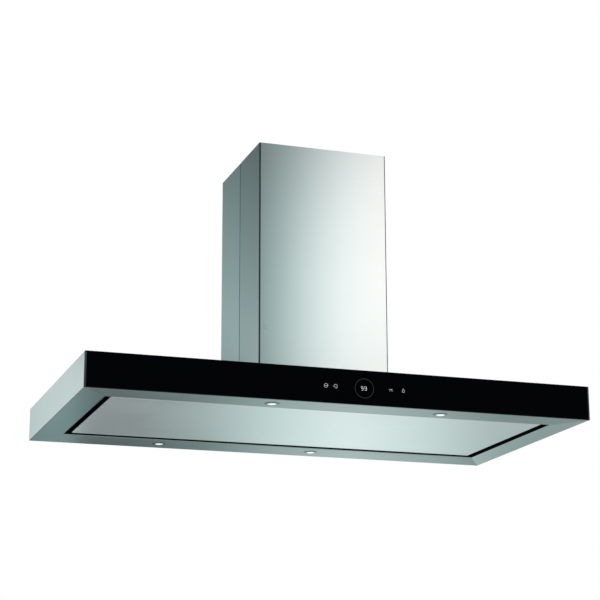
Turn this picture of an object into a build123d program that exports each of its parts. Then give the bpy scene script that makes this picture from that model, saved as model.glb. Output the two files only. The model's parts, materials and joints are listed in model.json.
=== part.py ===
from build123d import *
import os
from math import acos, degrees

# Island range hood, hung from the ceiling. Millimetres, +Z up, +X to the right of a
# person facing the glass. The origin is the middle of the ceiling plate's top face.

# Whole hood
canopy_width = 1200.0
canopy_depth = 650.0
canopy_height = 80.0
overall_height = 660.0
ceiling_gap = 0.5

# Canopy walls, folded from sheet, each with its part of the underside rim
sheet = 1.0
bend = 2.0
rim_side = 64.5
rim_front = 78.0
rim_rear = 107.0
lip_height = 14.0
top_flange_side = 22.0
mitre_gap = 0.2

# Front glass and the touch controls behind it
glass_thickness = 5.0
glass_end_bevel = 4.0
glass_bevel_depth = 1.5
glass_arris = 0.6
control_x = 42.0
control_height = 38.0
window_width = 236.0
window_height = 46.0
board_thickness = 1.6
board_margin = 4.0
display_width = 52.0
display_height = 30.0
display_depth = 4.0
touch_x = (-95.0, -72.0, 57.0, 88.0)
touch_post_radius = 4.0
cover_depth = 18.0
cover_wall = 2.0
cover_margin = 8.0
boss_radius = 4.0

# Perimeter suction panel
panel_slot = 13.0
panel_end_slot = 16.0
panel_recess = 2.4
panel_sheet = 1.0
panel_edge_height = 12.0
panel_bend = 2.0
panel_corner = 3.0
stiffener_length = 840.0
stiffener_width = 30.0
stiffener_height = 9.0
stiffener_pitch = 200.0

# Panel hinges and catches
hinge_x = 400.0
hinge_inset = 9.0
hinge_height = 18.0
hinge_pin_radius = 3.0
hinge_clearance = 0.05
hinge_boss_radius = 6.0
leaf_width = 24.0
leaf_foot = 34.0
ear_thickness = 3.0
ear_gap = 0.5
notch_margin = 4.0
catch_x = 430.0
catch_width = 40.0
catch_depth = 11.0
catch_gap = 0.3
striker_thickness = 2.0

# Filter deck and grease filters
deck_height = 40.0
filter_width = 500.0
filter_pitch = 520.0
filter_thickness = 9.0
filter_border = 12.0
filter_seat = 6.0
filter_front_inset = 39.0
filter_rear_inset = 45.0
mesh_layers = 3
mesh_sheet = 0.6
mesh_inset = 1.0
rail_sheet = 1.0
rail_ledge = 8.0
rail_gap = 1.2
latch_width = 60.0
latch_thickness = 2.0
latch_nose = 6.0
latch_tail = 22.0
latch_tab_width = 40.0
latch_tab_height = 8.0
latch_gap = 0.1
guide_wall = 3.0
guide_side_gap = 0.3

# Spot lamps in the rim
lamp_front_x = (-165.0, 241.0)
lamp_rear_x = (-286.0, 111.0)
lamp_front_inset = 48.0
lamp_rear_inset = 56.0
lamp_flange_radius = 17.0
lamp_flange = 1.2
lamp_mouth_radius = 11.4
lamp_tube_radius = 14.2
lamp_hole_clearance = 0.3
lamp_tube_height = 16.0
lamp_tube_wall = 2.0
lens_radius_clearance = 0.2
lens_sight_radius = 10.5
lens_height = 0.8
lens_thickness = 2.0
lens_recess = 0.2
sink_radius = 17.0
sink_height = 18.0
sink_groove = 3.0
sink_grooves = 3

# Lamp driver on the underside of the canopy top
driver_size = (110.0, 45.0, 25.0)
driver_end_inset = 220.0
driver_rear_inset = 235.0

# Chimney covers and their seam strips
chimney_side = 320.0
chimney_sheet = 0.8
chimney_bend = 3.0
seam_gap = 4.0
chimney_clearance = 1.4
upper_chimney_gap = 5.0
strip_width = 30.0
strip_thickness = 1.0
clip_width = 30.0
clip_height = 16.0
clip_foot = 16.0
clip_sheet = 1.5
clip_y = 60.0

# Telescopic frame and ceiling plate
plate_thickness = 3.0
plate_flange_height = 30.0
plate_flange_wall = 2.0
ceiling_bolt_spacing = 230.0
ceiling_bolt_hole_radius = 4.5
cable_hole_radius = 10.0
cable_hole_web = 8.0
angle_leg = 25.0
angle_wall = 2.0
upright_gap = 5.0
slide_clearance = 0.3
upright_end = 20.0
lower_upright_drop = 12.0
height_travel = 300.0
clamp_bolt_radius = 3.0
clamp_flange_gap = 4.0
clamp_hole_clearance = 0.3
clamp_head_radius = 5.2
clamp_head = 3.3
clamp_nut = 5.0
clamp_gap = 0.1
foot_side = 28.0
foot_thickness = 2.5
foot_bolt_radius = 3.0
foot_bolt_head = 3.5

# Motor box and blower
box_clearance = 7.7
box_chamfer = 42.0
box_flange = 15.0
box_sheet = 1.0
impeller_radius = 85.0
impeller_length = 100.0
impeller_disc = 2.0
blade_count = 40
blade_chord = 11.0
blade_thickness = 1.2
blade_angle = 35.0
impeller_ring = 12.0
impeller_ring_length = 3.0
scroll_gap = 14.0
scroll_step = 11.0
scroll_wall = 2.0
scroll_side_gap = 8.0
scroll_box_gap = 4.0
scroll_floor_gap = 20.0
outlet_neck = 34.0
inlet_overlap = 10.0
inlet_wall = 2.0
inlet_lip = 10.0
inlet_depth = 5.0
inlet_clearance = 0.2
shaft_radius = 4.0
shaft_clearance = 0.05
shaft_reach = 46.0
hub_radius = 12.0
hub_length = 18.0
motor_radius = 46.0
motor_length = 70.0
motor_gap = 12.0
motor_round = 4.6
arm_count = 3
arm_width = 16.0
arm_thickness = 2.5
arm_offset = 18.0
arm_disc_radius = 34.0
grommet_radius = 7.0
grommet_thickness = 4.0

# Outlet adapter and damper
collar_radius = 74.5
collar_wall = 2.0
collar_height = 50.0
adapter_height = 50.0
adapter_wall = 2.0
adapter_flange = 12.0
adapter_flange_thickness = 2.5
damper_height = 14.0
damper_pin_offset = 5.0
damper_pin_radius = 1.5
damper_clearance = 0.05
damper_knuckle_radius = 3.0
damper_plate = 1.2
damper_rim_gap = 1.0
damper_ledge = 3.0
damper_seat_gap = 0.3
bridge_half_width = 1.5

# Control box on the motor box
control_box_width = 44.0
control_box_depth = 120.0
control_box_height = 80.0
control_box_wall = 2.0
gland_radius = 11.0
gland_bore_radius = 4.5
gland_base = 8.0
gland_dome = 16.0
gland_dome_radius = 8.8
gland_round = 2.7

# Levels and places worked out from the sizes above
underside_z = -overall_height
canopy_top_z = underside_z + canopy_height
top_sheet_z = canopy_top_z - sheet
deck_z = underside_z + deck_height
wall_front_y = -canopy_depth / 2 + glass_thickness
wall_rear_y = canopy_depth / 2
half_width = canopy_width / 2
opening_x = half_width - rim_side
opening_front_y = wall_front_y + rim_front
opening_rear_y = wall_rear_y - rim_rear

os.makedirs("parts", exist_ok=True)


def write(piece, name):
    """Label a finished piece and write it to its own file."""
    piece.part.label = name
    export_step(piece.part, f"parts/{name}.step")


# Canopy walls: a folded profile along each side, mitred at the corners of the rim
outer_corners = [
    (-half_width, wall_front_y),
    (half_width, wall_front_y),
    (half_width, wall_rear_y),
    (-half_width, wall_rear_y),
]
inner_corners = [
    (-opening_x, opening_front_y),
    (opening_x, opening_front_y),
    (opening_x, opening_rear_y),
    (-opening_x, opening_rear_y),
]
lamp_front_y = wall_front_y + lamp_front_inset - glass_thickness
lamp_rear_y = wall_rear_y - lamp_rear_inset
lamp_places = {
    "front_left": (lamp_front_x[0], lamp_front_y),
    "front_right": (lamp_front_x[1], lamp_front_y),
    "rear_left": (lamp_rear_x[0], lamp_rear_y),
    "rear_right": (lamp_rear_x[1], lamp_rear_y),
}
control_z = underside_z + control_height


def mitre_plane(corner, middle):
    """Upright plane through a corner of the rim, facing the wall that it trims."""
    outer = Vector(*outer_corners[corner], 0)
    along = (Vector(*inner_corners[corner], 0) - outer).normalized()
    facing = along.cross(Vector(0, 0, 1))
    if facing.dot(middle - outer) < 0:
        facing = -facing
    return Plane(outer + facing * (mitre_gap / 2), x_dir=along, z_dir=facing)


def fold_wall(first, rim, inward):
    """Fold one wall from its top flange down to the rim's inner lip."""
    second = (first + 1) % 4
    start = Vector(*outer_corners[first], underside_z)
    end = Vector(*outer_corners[second], underside_z)
    inward = Vector(*inward, 0)
    run = inward.cross(Vector(0, 0, 1))
    top_flange = top_flange_side * rim / rim_side
    with BuildPart() as wall:
        with BuildSketch(Plane((start + end) / 2, x_dir=inward, z_dir=run)):
            with BuildLine():
                FilletPolyline(
                    (top_flange, canopy_height),
                    (0, canopy_height),
                    (0, 0),
                    (rim, 0),
                    (rim, lip_height),
                    radius=bend,
                )
                offset(amount=sheet, side=Side.LEFT)
            make_face()
        extrude(amount=(end - start).length / 2, both=True)
        middle = (start + end) / 2 + inward * (rim / 2)
        for corner in (first, second):
            split(bisect_by=mitre_plane(corner, middle), keep=Keep.TOP)
    return wall


front_blank = fold_wall(0, rim_front, (0, 1))
right_blank = fold_wall(1, rim_side, (-1, 0))
rear_blank = fold_wall(2, rim_rear, (0, -1))
left_blank = fold_wall(3, rim_side, (1, 0))
write(left_blank, "canopy_left_wall")
write(right_blank, "canopy_right_wall")

lamp_hole_radius = lamp_tube_radius + lamp_hole_clearance
with BuildPart() as canopy_front_wall:
    add(front_blank.part)
    with BuildSketch(Plane.XY.offset(underside_z)):
        with Locations(lamp_places["front_left"], lamp_places["front_right"]):
            Circle(lamp_hole_radius)
    extrude(amount=sheet, mode=Mode.SUBTRACT)
    with BuildSketch(Plane.XZ.offset(-wall_front_y)):
        with Locations((control_x, control_z)):
            Rectangle(window_width, window_height)
    extrude(amount=-sheet, mode=Mode.SUBTRACT)
write(canopy_front_wall, "canopy_front_wall")

with BuildPart() as canopy_rear_wall:
    add(rear_blank.part)
    with BuildSketch(Plane.XY.offset(underside_z)):
        with Locations(lamp_places["rear_left"], lamp_places["rear_right"]):
            Circle(lamp_hole_radius)
    extrude(amount=sheet, mode=Mode.SUBTRACT)
write(canopy_rear_wall, "canopy_rear_wall")

# Frame and motor box places, from the chimney inwards
lower_inner = chimney_side / 2 - chimney_sheet
upper_outer = lower_inner - chimney_clearance
upper_inner = upper_outer - chimney_sheet
upper_angle_outer = upper_inner - upright_gap
lower_angle_outer = upper_angle_outer - angle_wall - slide_clearance
lower_angle_inner = lower_angle_outer - angle_wall
box_half = lower_angle_inner - box_clearance
box_inner_half = box_half - box_sheet
intake_half = box_inner_half - box_flange
intake_chamfer = box_chamfer - box_flange * (2 - 2**0.5)
top_opening_half = intake_half - intake_chamfer / 2
foot_middle = lower_angle_inner - (foot_side - angle_wall) / 2
corner_signs = [(-1, -1), (1, -1), (1, 1), (-1, 1)]
foot_places = [(sx * foot_middle, sy * foot_middle) for sx, sy in corner_signs]
foot_hole_radius = foot_bolt_radius + clamp_hole_clearance

# Canopy top sheet, under the top flanges of the walls
with BuildPart() as canopy_top:
    with BuildSketch(Plane.XY.offset(top_sheet_z)):
        with Locations((0, (wall_front_y + wall_rear_y) / 2)):
            Rectangle(canopy_width - 2 * (sheet + bend), wall_rear_y - wall_front_y - 2 * (sheet + bend))
        Rectangle(2 * top_opening_half, 2 * top_opening_half, mode=Mode.SUBTRACT)
        with Locations(*foot_places):
            Circle(foot_hole_radius, mode=Mode.SUBTRACT)
    extrude(amount=-sheet)
write(canopy_top, "canopy_top")

# Front glass, bevelled at both ends
glass_face_y = wall_front_y - glass_thickness
with BuildPart() as front_glass:
    with BuildSketch(Plane.XY.offset(underside_z)):
        with BuildLine():
            Polyline(
                (-half_width, wall_front_y),
                (-half_width, glass_face_y + glass_bevel_depth),
                (-half_width + glass_end_bevel, glass_face_y),
                (half_width - glass_end_bevel, glass_face_y),
                (half_width, glass_face_y + glass_bevel_depth),
                (half_width, wall_front_y),
                close=True,
            )
        make_face()
    extrude(amount=canopy_height)
    face_edges = front_glass.faces().sort_by(Axis.Y)[0].edges().filter_by(Axis.X)
    chamfer(face_edges, glass_arris)
write(front_glass, "front_glass")

# Touch controls: display against the glass, board behind it, cover on the wall
board_front_y = wall_front_y + display_depth
cover_front_y = wall_front_y + sheet
cover_back_y = cover_front_y + cover_depth
board_width = window_width - 2 * board_margin
board_height = window_height - 2 * board_margin
control_plane = Plane((control_x, board_front_y, control_z), x_dir=(1, 0, 0), z_dir=(0, -1, 0))
boss_x = board_width / 2 - 2 * boss_radius
boss_z = board_height / 2 - boss_radius

with BuildPart() as display_module:
    with BuildSketch(control_plane):
        Rectangle(display_width, display_height)
    extrude(amount=display_depth)
write(display_module, "display_module")

with BuildPart() as touch_board:
    with BuildSketch(control_plane):
        Rectangle(board_width, board_height)
    extrude(amount=-board_thickness)
    with BuildSketch(control_plane):
        with Locations(*[(x, 0) for x in touch_x]):
            Circle(touch_post_radius)
    extrude(amount=display_depth)
write(touch_board, "touch_board")

with BuildPart() as board_cover:
    cover_plane = Plane((control_x, cover_front_y, control_z), x_dir=(1, 0, 0), z_dir=(0, -1, 0))
    with BuildSketch(cover_plane):
        RectangleRounded(window_width + 2 * cover_margin, window_height + 2 * cover_margin, cover_wall)
    extrude(amount=-cover_depth)
    with BuildSketch(cover_plane):
        Rectangle(
            window_width + 2 * (cover_margin - cover_wall),
            window_height + 2 * (cover_margin - cover_wall),
        )
    extrude(amount=-(cover_depth - cover_wall), mode=Mode.SUBTRACT)
    with BuildSketch(control_plane.offset(-board_thickness)):
        with GridLocations(2 * boss_x, 2 * boss_z, 2, 2):
            Circle(boss_radius)
    extrude(amount=-(cover_back_y - board_front_y - board_thickness))
write(board_cover, "board_cover")

# Filter deck: an upturned tray that stands on the rim, clear of the bend of its lip
filter_front_y = opening_front_y + filter_front_inset
filter_rear_y = opening_rear_y - filter_rear_inset
filter_length = filter_rear_y - filter_front_y
filter_mid_y = (filter_front_y + filter_rear_y) / 2
filter_places = {"left": -filter_pitch / 2, "right": filter_pitch / 2}
opening_mid_y = (opening_front_y + opening_rear_y) / 2
opening_length_y = opening_rear_y - opening_front_y
skirt_outset = 2 * sheet + bend

with BuildPart() as filter_deck:
    with BuildSketch(Plane.XY.offset(underside_z + sheet)):
        with Locations((0, opening_mid_y)):
            Rectangle(2 * (opening_x + skirt_outset), opening_length_y + 2 * skirt_outset)
    extrude(amount=deck_height)
    with BuildSketch(Plane.XY.offset(underside_z + sheet)):
        with Locations((0, opening_mid_y)):
            Rectangle(2 * (opening_x + skirt_outset - sheet), opening_length_y + 2 * (skirt_outset - sheet))
    extrude(amount=deck_height - sheet, mode=Mode.SUBTRACT)
    with BuildSketch(Plane.XY.offset(deck_z)):
        with Locations(*[(x, filter_mid_y) for x in filter_places.values()]):
            Rectangle(filter_width - 2 * filter_seat, filter_length - 2 * filter_seat)
    extrude(amount=sheet, mode=Mode.SUBTRACT)
write(filter_deck, "filter_deck")

# Grease filters: frame with latch guides, mesh pad, sliding latch
filter_bottom_z = deck_z - filter_thickness
latch_top_z = filter_bottom_z - latch_gap
latch_bottom_z = latch_top_z - latch_thickness
latch_mid_y = filter_front_y + (latch_tail - latch_nose) / 2
guide_y = filter_front_y + filter_border / 2
guide_depth = guide_wall + latch_thickness + 2 * latch_gap
mesh_pitch = (filter_thickness - 2 * mesh_inset - mesh_sheet) / (mesh_layers - 1)

for side, filter_x in filter_places.items():
    with BuildPart() as filter_frame:
        with BuildSketch(Plane.XY.offset(filter_bottom_z)):
            with Locations((filter_x, filter_mid_y)):
                Rectangle(filter_width, filter_length)
                Rectangle(
                    filter_width - 2 * filter_border,
                    filter_length - 2 * filter_border,
                    mode=Mode.SUBTRACT,
                )
        extrude(amount=filter_thickness)
        for way in (-1, 1):
            guide_x = filter_x + way * (latch_width / 2 + guide_side_gap + guide_wall / 2)
            with BuildSketch(Plane.XY.offset(filter_bottom_z)):
                with Locations((guide_x, guide_y)):
                    Rectangle(guide_wall, filter_border)
            extrude(amount=-guide_depth)
            with BuildSketch(Plane.XY.offset(latch_bottom_z - latch_gap)):
                with Locations((guide_x - way * guide_wall / 2, guide_y)):
                    Rectangle(2 * guide_wall, filter_border)
            extrude(amount=-guide_wall)
    write(filter_frame, f"filter_frame_{side}")

    with BuildPart() as filter_mesh:
        for layer in range(mesh_layers):
            with BuildSketch(Plane.XY.offset(filter_bottom_z + mesh_inset + layer * mesh_pitch)):
                with Locations((filter_x, filter_mid_y)):
                    Rectangle(filter_width - 2 * filter_border, filter_length - 2 * filter_border)
            extrude(amount=mesh_sheet)
    write(filter_mesh, f"filter_mesh_{side}")

    with BuildPart() as filter_latch:
        with BuildSketch(Plane.XY.offset(latch_bottom_z)):
            with Locations((filter_x, latch_mid_y)):
                Rectangle(latch_width, latch_nose + latch_tail)
        extrude(amount=latch_thickness)
        with BuildSketch(Plane.XY.offset(latch_bottom_z)):
            with Locations((filter_x, filter_front_y + latch_tail - latch_thickness / 2)):
                Rectangle(latch_tab_width, latch_thickness)
        extrude(amount=-latch_tab_height)
    write(filter_latch, f"filter_latch_{side}")

# Filter rails under the deck: the rear ledge carries the frames, the front one the latches
rail_length = filter_pitch + filter_width
front_rail_y = filter_front_y - rail_ledge - rail_gap
rear_rail_y = filter_rear_y + rail_gap
front_ledge_z = latch_bottom_z - latch_gap
rear_ledge_z = filter_bottom_z - latch_gap

with BuildPart() as filter_rails:
    with BuildSketch(Plane.YZ.offset(-rail_length / 2)):
        with BuildLine():
            Polyline(
                (front_rail_y - rail_sheet, deck_z),
                (front_rail_y - rail_sheet, front_ledge_z - rail_sheet),
                (front_rail_y + rail_ledge - rail_gap, front_ledge_z - rail_sheet),
                (front_rail_y + rail_ledge - rail_gap, front_ledge_z),
                (front_rail_y, front_ledge_z),
                (front_rail_y, deck_z),
                close=True,
            )
        make_face()
        with BuildLine():
            Polyline(
                (rear_rail_y + rail_sheet, deck_z),
                (rear_rail_y + rail_sheet, rear_ledge_z - rail_sheet),
                (rear_rail_y - rail_ledge, rear_ledge_z - rail_sheet),
                (rear_rail_y - rail_ledge, rear_ledge_z),
                (rear_rail_y, rear_ledge_z),
                (rear_rail_y, deck_z),
                close=True,
            )
        make_face()
    extrude(amount=rail_length)
write(filter_rails, "filter_rails")

# Perimeter panel: a shallow pan, notched at the rear for its hinges
panel_x = opening_x - panel_end_slot
panel_front_y = opening_front_y + panel_slot
panel_rear_y = opening_rear_y - panel_slot
panel_mid_y = (panel_front_y + panel_rear_y) / 2
panel_z = underside_z + panel_recess
panel_floor_z = panel_z + panel_sheet
panel_top_z = panel_z + panel_edge_height
hinge_y = panel_rear_y - hinge_inset
hinge_z = underside_z + hinge_height
hinge_width = leaf_width + 2 * (ear_gap + ear_thickness)

with BuildPart() as perimeter_panel:
    with BuildSketch(Plane.XY.offset(panel_z)):
        with Locations((0, panel_mid_y)):
            RectangleRounded(2 * panel_x, panel_rear_y - panel_front_y, panel_corner)
    extrude(amount=panel_edge_height)
    fillet(perimeter_panel.faces().sort_by(Axis.Z)[0].edges(), panel_bend)
    offset(amount=-panel_sheet, openings=perimeter_panel.faces().sort_by(Axis.Z)[-1])
    with BuildSketch(Plane.XZ.offset(-panel_rear_y)):
        with Locations(*[(way * hinge_x, (panel_z + panel_bend + panel_top_z) / 2) for way in (-1, 1)]):
            Rectangle(hinge_width + 2 * notch_margin, panel_edge_height - panel_bend)
    extrude(amount=panel_bend, mode=Mode.SUBTRACT)
write(perimeter_panel, "perimeter_panel")

with BuildPart() as panel_stiffeners:
    with BuildSketch(Plane.YZ.offset(-stiffener_length / 2)):
        with Locations(*[(panel_mid_y + way * stiffener_pitch / 2, panel_floor_z) for way in (-1, 1)]):
            Rectangle(stiffener_width, stiffener_height, align=(Align.CENTER, Align.MIN))
            Rectangle(
                stiffener_width - 2 * panel_sheet,
                stiffener_height - panel_sheet,
                align=(Align.CENTER, Align.MIN),
                mode=Mode.SUBTRACT,
            )
    extrude(amount=stiffener_length)
write(panel_stiffeners, "panel_stiffeners")

# Panel hinges: leaves on the pan, brackets under the deck, a pin through each pair
with BuildPart() as panel_hinge_leaves:
    for way in (-1, 1):
        with BuildSketch(Plane.YZ.offset(way * hinge_x)):
            with Locations((hinge_y, hinge_z)):
                Circle(hinge_boss_radius)
            with Locations((hinge_y, panel_floor_z)):
                Rectangle(2 * hinge_boss_radius, hinge_z - panel_floor_z, align=(Align.CENTER, Align.MIN))
            with Locations((hinge_y + hinge_boss_radius, panel_floor_z)):
                Rectangle(leaf_foot, striker_thickness, align=(Align.MAX, Align.MIN))
            with Locations((hinge_y, hinge_z)):
                Circle(hinge_pin_radius + hinge_clearance, mode=Mode.SUBTRACT)
        extrude(amount=leaf_width / 2, both=True)
write(panel_hinge_leaves, "panel_hinge_leaves")

with BuildPart() as panel_hinge_brackets:
    for way in (-1, 1):
        for ear in (-1, 1):
            ear_x = way * hinge_x + ear * (leaf_width / 2 + ear_gap + ear_thickness / 2)
            with BuildSketch(Plane.YZ.offset(ear_x)):
                with Locations((hinge_y, hinge_z)):
                    Circle(hinge_boss_radius)
                with Locations((hinge_y, deck_z)):
                    Rectangle(2 * hinge_boss_radius, deck_z - hinge_z, align=(Align.CENTER, Align.MAX))
                with Locations((hinge_y, hinge_z)):
                    Circle(hinge_pin_radius, mode=Mode.SUBTRACT)
            extrude(amount=ear_thickness / 2, both=True)
        with BuildSketch(Plane.XY.offset(deck_z)):
            with Locations((way * hinge_x, hinge_y)):
                Rectangle(hinge_width, 2 * hinge_boss_radius)
        extrude(amount=-ear_thickness)
write(panel_hinge_brackets, "panel_hinge_brackets")

with BuildPart() as panel_hinge_pins:
    for way in (-1, 1):
        with BuildSketch(Plane.YZ.offset(way * hinge_x)):
            with Locations((hinge_y, hinge_z)):
                Circle(hinge_pin_radius)
        extrude(amount=hinge_width / 2, both=True)
write(panel_hinge_pins, "panel_hinge_pins")

# Magnetic catches at the front edge of the panel
catch_y = panel_front_y + panel_sheet + panel_bend + catch_depth / 2
striker_top_z = panel_top_z
catch_places = [(way * catch_x, catch_y) for way in (-1, 1)]

with BuildPart() as panel_strikers:
    with BuildSketch(Plane.XZ.offset(-(catch_y - catch_depth / 2))):
        with Locations(*[(way * catch_x, panel_floor_z) for way in (-1, 1)]):
            Rectangle(catch_width, striker_top_z - panel_floor_z, align=(Align.CENTER, Align.MIN))
            Rectangle(
                catch_width - 2 * striker_thickness,
                striker_top_z - panel_floor_z - striker_thickness,
                align=(Align.CENTER, Align.MIN),
                mode=Mode.SUBTRACT,
            )
    extrude(amount=-catch_depth)
write(panel_strikers, "panel_strikers")

with BuildPart() as panel_magnets:
    with BuildSketch(Plane.XY.offset(striker_top_z + catch_gap)):
        with Locations(*catch_places):
            RectangleRounded(catch_width, catch_depth, striker_thickness)
    extrude(amount=deck_z - striker_top_z - catch_gap)
write(panel_magnets, "panel_magnets")

# Spot lamps: bezel through the rim, lens on its ledge and down to the mouth, heat sink on the lens
lens_radius = lamp_tube_radius - lamp_tube_wall - lens_radius_clearance
lens_top = lens_height + lens_thickness
for place, (lamp_x, lamp_y) in lamp_places.items():
    with BuildPart() as lamp_bezel:
        with BuildSketch(Plane((lamp_x, lamp_y, underside_z), x_dir=(1, 0, 0), z_dir=(0, -1, 0))):
            with BuildLine():
                Polyline(
                    (lamp_mouth_radius, -lamp_flange),
                    (lamp_flange_radius - lamp_flange / 2, -lamp_flange),
                    (lamp_flange_radius, -lamp_flange / 2),
                    (lamp_flange_radius, 0),
                    (lamp_tube_radius, 0),
                    (lamp_tube_radius, lamp_tube_height),
                    (lamp_tube_radius - lamp_tube_wall, lamp_tube_height),
                    (lamp_tube_radius - lamp_tube_wall, lens_height),
                    (lens_sight_radius, lens_height),
                    close=True,
                )
            make_face()
        revolve(axis=Axis((lamp_x, lamp_y, underside_z), (0, 0, 1)))
    write(lamp_bezel, f"lamp_bezel_{place}")

with BuildPart() as lamp_lenses:
    with BuildSketch(Plane.XY.offset(underside_z + lens_height)):
        with Locations(*lamp_places.values()):
            Circle(lens_radius)
    extrude(amount=lens_thickness)
    with BuildSketch(Plane.XY.offset(underside_z + lens_height)):
        with Locations(*lamp_places.values()):
            Circle(lens_sight_radius - lens_radius_clearance)
    extrude(amount=-(lens_height + lamp_flange - lens_recess))
write(lamp_lenses, "lamp_lenses")

with BuildPart() as lamp_heat_sinks:
    with BuildSketch(Plane.XY.offset(underside_z + lens_top)):
        with Locations(*lamp_places.values()):
            Circle(lens_radius)
    extrude(amount=lamp_tube_height - lens_top)
    with BuildSketch(Plane.XY.offset(underside_z + lamp_tube_height)):
        with Locations(*lamp_places.values()):
            Circle(sink_radius)
    extrude(amount=sink_height)
    groove_pitch = sink_height / (sink_grooves + 1)
    for groove in range(sink_grooves):
        groove_z = underside_z + lamp_tube_height + (groove + 1) * groove_pitch
        with BuildSketch(Plane.XY.offset(groove_z - sink_groove / 2)):
            with Locations(*lamp_places.values()):
                Circle(sink_radius)
                Circle(sink_radius - sink_groove, mode=Mode.SUBTRACT)
        extrude(amount=sink_groove, mode=Mode.SUBTRACT)
write(lamp_heat_sinks, "lamp_heat_sinks")

with BuildPart() as lamp_driver:
    with BuildSketch(Plane.XY.offset(top_sheet_z - sheet)):
        with Locations((driver_end_inset - half_width, wall_rear_y - driver_rear_inset)):
            RectangleRounded(driver_size[0], driver_size[1], bend)
    extrude(amount=-driver_size[2])
write(lamp_driver, "lamp_driver")


# Chimney covers: two folded halves each, closed by a strip behind the seams
def fold_chimney(outer_half, bottom_z, top_z, facing):
    """Fold one half of a square cover: its face and half of each side."""
    with BuildPart() as cover:
        with BuildSketch(Plane.XY.offset(bottom_z)):
            with BuildLine():
                FilletPolyline(
                    (facing * outer_half, facing * seam_gap / 2),
                    (facing * outer_half, facing * outer_half),
                    (-facing * outer_half, facing * outer_half),
                    (-facing * outer_half, facing * seam_gap / 2),
                    radius=chimney_bend,
                )
                offset(amount=chimney_sheet, side=Side.LEFT)
            make_face()
        extrude(amount=top_z - bottom_z)
    return cover


def seam_strips(inner_half, bottom_z, top_z):
    """Flat strips inside the two seams of a cover."""
    with BuildPart() as strips:
        with BuildSketch(Plane.XY.offset(bottom_z)):
            with GridLocations(2 * inner_half - strip_thickness, 0, 2, 1):
                Rectangle(strip_thickness, strip_width)
        extrude(amount=top_z - bottom_z)
    return strips


write(fold_chimney(chimney_side / 2, top_sheet_z, -ceiling_gap, -1), "lower_chimney_front")
write(fold_chimney(chimney_side / 2, top_sheet_z, -ceiling_gap, 1), "lower_chimney_rear")
write(seam_strips(lower_inner, top_sheet_z, -ceiling_gap), "lower_seam_strips")
upper_chimney_z = top_sheet_z + clip_height + upper_chimney_gap
write(fold_chimney(upper_outer, upper_chimney_z, 0, -1), "upper_chimney_front")
write(fold_chimney(upper_outer, upper_chimney_z, 0, 1), "upper_chimney_rear")
write(seam_strips(upper_inner, upper_chimney_z, -plate_flange_height - plate_thickness), "upper_seam_strips")

with BuildPart() as chimney_clips:
    for way in (-1, 1):
        with BuildSketch(Plane.XZ.offset(-way * clip_y)):
            for side in (-1, 1):
                with BuildLine():
                    Polyline(
                        (side * lower_inner, top_sheet_z),
                        (side * lower_inner, top_sheet_z + clip_height),
                        (side * (lower_inner - clip_sheet), top_sheet_z + clip_height),
                        (side * (lower_inner - clip_sheet), top_sheet_z + clip_sheet),
                        (side * (lower_inner - clip_foot), top_sheet_z + clip_sheet),
                        (side * (lower_inner - clip_foot), top_sheet_z),
                        close=True,
                    )
                make_face()
        extrude(amount=clip_width / 2, both=True)
write(chimney_clips, "chimney_clips")

# Ceiling plate: flanged tray with the bolt holes, duct opening and cable hole
control_box_x = -box_half + control_box_width / 2
duct_opening_radius = -control_box_x - cable_hole_radius - cable_hole_web
with BuildPart() as ceiling_plate:
    with BuildSketch():
        Rectangle(2 * upper_inner, 2 * upper_inner)
    extrude(amount=-(plate_thickness + plate_flange_height))
    with BuildSketch(Plane.XY.offset(-plate_thickness)):
        Rectangle(2 * (upper_inner - plate_flange_wall), 2 * (upper_inner - plate_flange_wall))
    extrude(amount=-plate_flange_height, mode=Mode.SUBTRACT)
    with BuildSketch():
        Circle(duct_opening_radius)
        with GridLocations(ceiling_bolt_spacing, ceiling_bolt_spacing, 2, 2):
            Circle(ceiling_bolt_hole_radius)
        with Locations((control_box_x, 0)):
            Circle(cable_hole_radius)
    extrude(amount=-plate_thickness, mode=Mode.SUBTRACT)
    corner_edges = ceiling_plate.edges().filter_by(Axis.Z).filter_by(
        lambda edge: min(abs(edge.center().X), abs(edge.center().Y)) > upper_inner - plate_flange_wall / 2
    )
    fillet(corner_edges, chimney_bend)
write(ceiling_plate, "ceiling_plate")

# Telescopic uprights: upper angles hang from the plate, lower ones stand on the canopy
lower_upright_z = -plate_thickness - lower_upright_drop
clamp_z = -plate_thickness - plate_flange_height - clamp_flange_gap - clamp_head_radius
clamp_y = upper_angle_outer - angle_leg / 2
slot_half_height = clamp_bolt_radius + clamp_hole_clearance
upper_upright_z = clamp_z - height_travel - slot_half_height - upright_end


def angle_section(outer_half):
    """Four angle sections with their corners outwards."""
    for sx, sy in corner_signs:
        with Locations((sx * (outer_half - angle_leg / 2), sy * (outer_half - angle_wall / 2))):
            Rectangle(angle_leg, angle_wall)
        with Locations((sx * (outer_half - angle_wall / 2), sy * (outer_half - angle_leg / 2))):
            Rectangle(angle_wall, angle_leg)


with BuildPart() as upper_uprights:
    with BuildSketch(Plane.XY.offset(-plate_thickness)):
        angle_section(upper_angle_outer)
    extrude(amount=upper_upright_z + plate_thickness)
    for way in (-1, 1):
        with BuildSketch(Plane.YZ.offset(way * upper_angle_outer)):
            with Locations(*[(side * clamp_y, clamp_z - height_travel / 2) for side in (-1, 1)]):
                SlotCenterToCenter(height_travel, 2 * slot_half_height, rotation=90)
        extrude(amount=-way * angle_wall, mode=Mode.SUBTRACT)
write(upper_uprights, "upper_uprights")

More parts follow.
